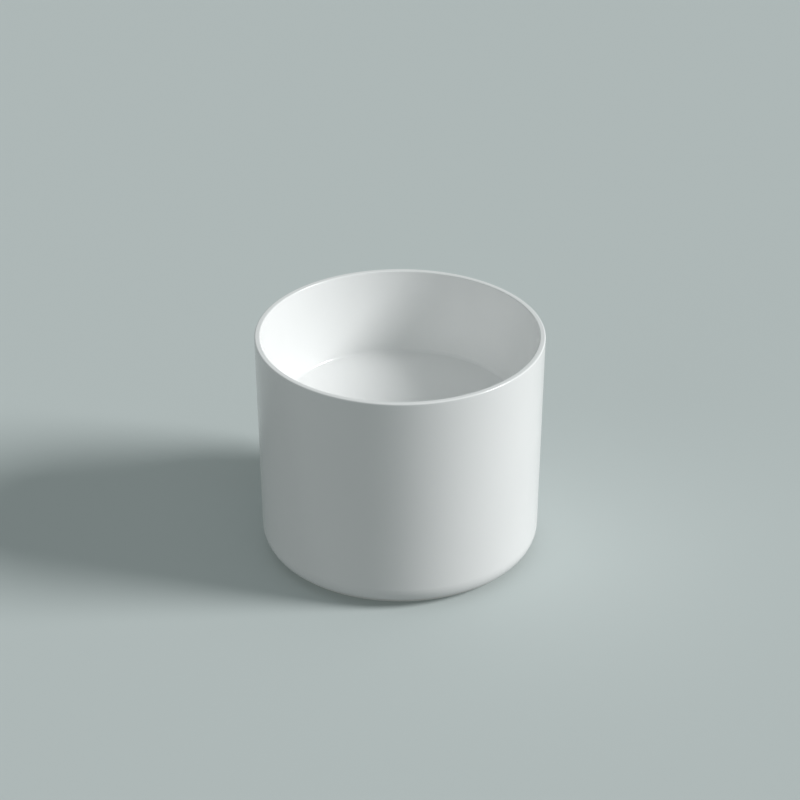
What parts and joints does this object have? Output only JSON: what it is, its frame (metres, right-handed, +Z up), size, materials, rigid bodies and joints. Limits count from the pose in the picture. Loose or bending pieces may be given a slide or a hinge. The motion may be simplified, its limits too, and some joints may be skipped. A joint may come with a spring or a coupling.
{
  "type": "hung basin",
  "caption": "Round white hung basin: thin-rimmed tapered bowl in a cylindrical skirt, with click waste, bottle trap hidden inside, flat rear mounting pad and hanger bolts.",
  "frame": {"origin": "in the mounting plane, on the basin's centre line, midway between the two hanger bolts", "axes": "+Y into the mounting plane, -Y to the front, +X to the right as seen from the front, +Z up"},
  "size_m": [0.3599, 0.412, 0.293],
  "materials": {
    "white_glaze": "glossy white glaze",
    "chrome": "polished chrome plate",
    "brass": "bare turned brass",
    "steel": "zinc-plated steel",
    "white_plastic": "moulded white polypropylene",
    "black_rubber": "matt black rubber"
  },
  "bodies": {
    "basin": {"basin_body": "white_glaze", "waste_body": "chrome", "flange_seal": "black_rubber", "under_seal": "black_rubber", "slip_washer": "white_plastic", "waste_nut": "brass", "click_cartridge": "brass", "click_spring": "steel", "coupling_nut": "white_plastic", "coupling_washer": "black_rubber", "inlet_tube": "white_plastic", "inlet_nut": "white_plastic", "inlet_seal": "black_rubber", "trap_head": "white_plastic", "cup_seal": "black_rubber", "trap_cup": "white_plastic", "outlet_nut": "white_plastic", "outlet_seal": "black_rubber", "outlet_pipe": "white_plastic", "pipe_rosette": "chrome", "hanger_bolts": "steel", "bolt_bushes": "white_plastic", "bolt_washers": "steel", "bolt_nuts": "steel"},
    "plug": {"plug_cap": "white_glaze", "plug_carrier": "brass", "plug_seal": "black_rubber", "plug_stem": "brass"}
  },
  "joints": [
    {"name": "plug_lift", "type": "slide", "parent": "basin", "child": "plug", "axis": [0, 0, 1], "range_m": [0, 0.009], "deforming": ["click_spring"]}
  ]
}
